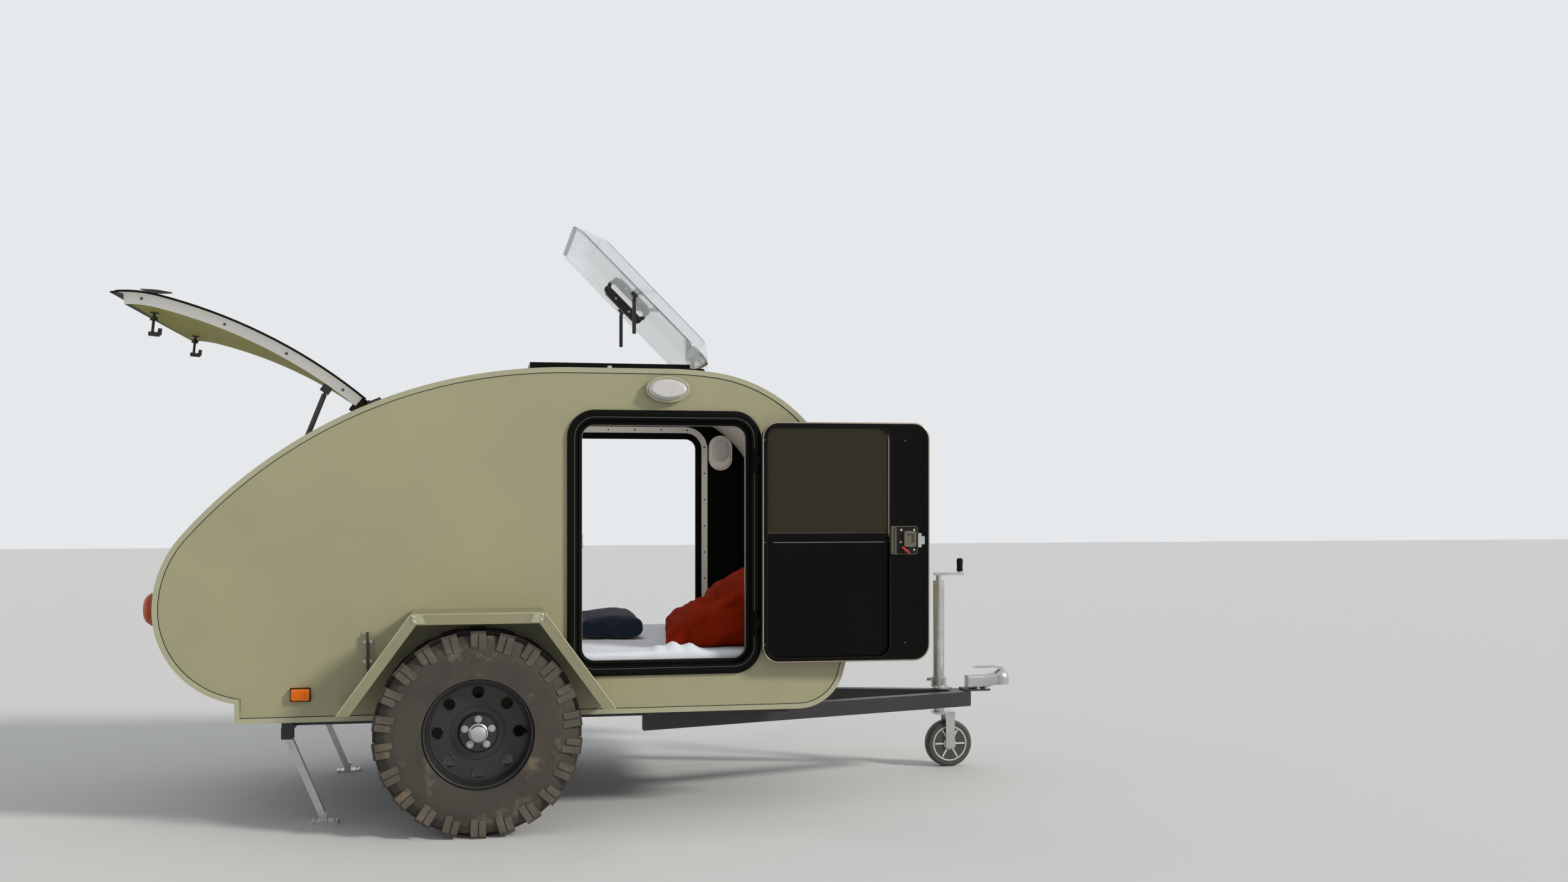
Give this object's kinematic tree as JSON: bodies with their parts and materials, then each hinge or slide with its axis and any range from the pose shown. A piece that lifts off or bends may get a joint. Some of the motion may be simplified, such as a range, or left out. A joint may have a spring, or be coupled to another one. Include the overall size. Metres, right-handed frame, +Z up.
{
  "type": "off-road teardrop caravan",
  "caption": "Small olive teardrop caravan with side doors, a lifting rear hatch over a galley, a roof skylight, lugged tyres and a drawbar.",
  "frame": {"origin": "on the ground under the middle of the caravan's box", "axes": "+X forward along the drawbar, +Y to the left, +Z up"},
  "size_m": [3.4308, 1.83, 2.188],
  "materials": {
    "body_paint": "matte olive finish on the sandwich walls",
    "trim_paint": "olive anodised edge trim",
    "steel_paint": "olive painted folded steel",
    "chassis_steel": "black painted steel",
    "zinc": "zinc plated steel",
    "black_frame": "black frame profile",
    "ring_grey": "light grey clamp ring",
    "dark_glass": "dark tinted acrylic",
    "screen": "insect screen",
    "latch": "grey and black latch",
    "hatch_paint": "olive panel with light grey edge",
    "handle_black": "black handle",
    "strut_black": "black tube",
    "strut_chrome": "polished rod",
    "clear_acrylic": "clear double skin acrylic",
    "plywood": "birch plywood",
    "white_fabric": "white sheet",
    "orange_fabric": "red orange quilt",
    "navy_fabric": "navy blanket",
    "tyre": "dusty off-road rubber",
    "rim": "black steel rim",
    "lamp_white": "white lamp",
    "lens_clear": "ribbed clear lens",
    "lens_orange": "orange lens",
    "lens_red": "red lens",
    "wheel_rubber": "solid jockey tyre",
    "floor_board": "coated floor board"
  },
  "bodies": {
    "trailer": {"side_panel_right": "body_paint", "side_panel_left": "body_paint", "roof_panel": "body_paint", "nose_panel": "body_paint", "rear_panel": "body_paint", "floor_panel": "floor_board", "edge_trim_right": "trim_paint", "edge_trim_left": "trim_paint", "door_frame_right": "black_frame", "door_frame_left": "black_frame", "door_rings": "ring_grey", "hatch_hinge": "trim_paint", "strut_mounts": "strut_black", "bulkhead": "plywood", "worktop": "plywood", "galley_shelf": "plywood", "mattress": "white_fabric", "quilt": "orange_fabric", "blanket": "navy_fabric", "cabin_lamps": "lamp_white", "side_markers": "lens_orange", "porch_lamps": "steel_paint", "porch_lenses": "lens_clear", "tail_lamps": "lens_red", "skylight_frame": "black_frame", "fender_right": "steel_paint", "fender_left": "steel_paint", "chassis_frame": "chassis_steel", "drawbar": "chassis_steel", "coupling_head": "zinc", "axle_beam": "chassis_steel", "jockey_clamp": "zinc"},
    "wheel_right": {"tyre_right": "tyre", "rim_right": "rim"},
    "wheel_left": {"tyre_left": "tyre", "rim_left": "rim"},
    "door_right": {"door_leaf_right": "black_frame", "door_glass_right": "dark_glass", "door_screen_right": "screen", "door_latch_right": "latch"},
    "door_left": {"door_leaf_left": "black_frame", "door_glass_left": "dark_glass", "door_screen_left": "screen", "door_latch_left": "latch"},
    "hatch": {"hatch_panel": "hatch_paint", "hatch_latches": "handle_black", "hatch_brackets": "strut_black"},
    "strut_tube_right": {"strut_tube_right": "strut_black"},
    "strut_tube_left": {"strut_tube_left": "strut_black"},
    "strut_rod_right": {"strut_rod_right": "strut_chrome"},
    "strut_rod_left": {"strut_rod_left": "strut_chrome"},
    "skylight": {"skylight_lid": "clear_acrylic", "skylight_stays": "handle_black"},
    "jockey": {"jockey_post": "zinc", "jockey_fork": "zinc"},
    "jockey_wheel": {"jockey_wheel": "wheel_rubber"},
    "steady_right": {"steady_right": "zinc"},
    "steady_left": {"steady_left": "zinc"}
  },
  "joints": [
    {"name": "wheel_right_spin", "type": "hinge", "parent": "trailer", "child": "wheel_right", "pos_m": [-0.49858, -0.794, 0.352], "axis": [0, 1, 0], "continuous": true},
    {"name": "door_right_hinge", "type": "hinge", "parent": "trailer", "child": "door_right", "pos_m": [0.49642, -0.694, 0.9945], "axis": [0, 0, 1], "range_deg": [-178, 0]},
    {"name": "wheel_left_spin", "type": "hinge", "parent": "trailer", "child": "wheel_left", "pos_m": [-0.49858, 0.794, 0.352], "axis": [0, 1, 0], "continuous": true},
    {"name": "door_left_hinge", "type": "hinge", "parent": "trailer", "child": "door_left", "pos_m": [0.49642, 0.694, 0.9945], "axis": [0, 0, 1], "range_deg": [0, 178]},
    {"name": "hatch_hinge", "type": "hinge", "parent": "trailer", "child": "hatch", "pos_m": [-0.87524, 0, 1.49376], "axis": [0, 1, 0], "range_deg": [-63.4, 0]},
    {"name": "strut_right_pivot", "type": "hinge", "parent": "hatch", "child": "strut_tube_right", "pos_m": [-1.02089, -0.612, 1.53466], "axis": [0, 1, 0], "range_deg": [-0.5, 79.73]},
    {"name": "strut_right_slide", "type": "slide", "parent": "strut_tube_right", "child": "strut_rod_right", "axis": [-0.3637, 0, -0.9315], "range_m": [-0.11351, 0.0005]},
    {"name": "strut_left_pivot", "type": "hinge", "parent": "hatch", "child": "strut_tube_left", "pos_m": [-1.02089, 0.612, 1.53466], "axis": [0, 1, 0], "range_deg": [-0.5, 79.73]},
    {"name": "strut_left_slide", "type": "slide", "parent": "strut_tube_left", "child": "strut_rod_left", "axis": [-0.3637, 0, -0.9315], "range_m": [-0.11351, 0.0005]},
    {"name": "skylight_hinge", "type": "hinge", "parent": "trailer", "child": "skylight", "pos_m": [0.36242, 0, 1.652], "axis": [0, 1, 0], "range_deg": [-45, 0]},
    {"name": "jockey_slide", "type": "slide", "parent": "trailer", "child": "jockey", "axis": [0, 0, 1], "range_m": [0, 0.1]},
    {"name": "jockey_spin", "type": "hinge", "parent": "jockey", "child": "jockey_wheel", "pos_m": [1.49142, 0.13787, 0.1], "axis": [0, 1, 0], "continuous": true},
    {"name": "steady_right_hinge", "type": "hinge", "parent": "trailer", "child": "steady_right", "pos_m": [-1.16058, -0.52, 0.317], "axis": [0, 1, 0], "range_deg": [-67.55, 0]},
    {"name": "steady_left_hinge", "type": "hinge", "parent": "trailer", "child": "steady_left", "pos_m": [-1.16058, 0.52, 0.317], "axis": [0, 1, 0], "range_deg": [-67.55, 0]}
  ],
  "couplings": [
    {"joint": "strut_right_pivot", "follows": "hatch_hinge", "ratio": -1.2496},
    {"joint": "strut_right_slide", "follows": "hatch_hinge", "m_per_rad": 0.10212},
    {"joint": "strut_left_pivot", "follows": "hatch_hinge", "ratio": -1.2496},
    {"joint": "strut_left_slide", "follows": "hatch_hinge", "m_per_rad": 0.10212}
  ]
}
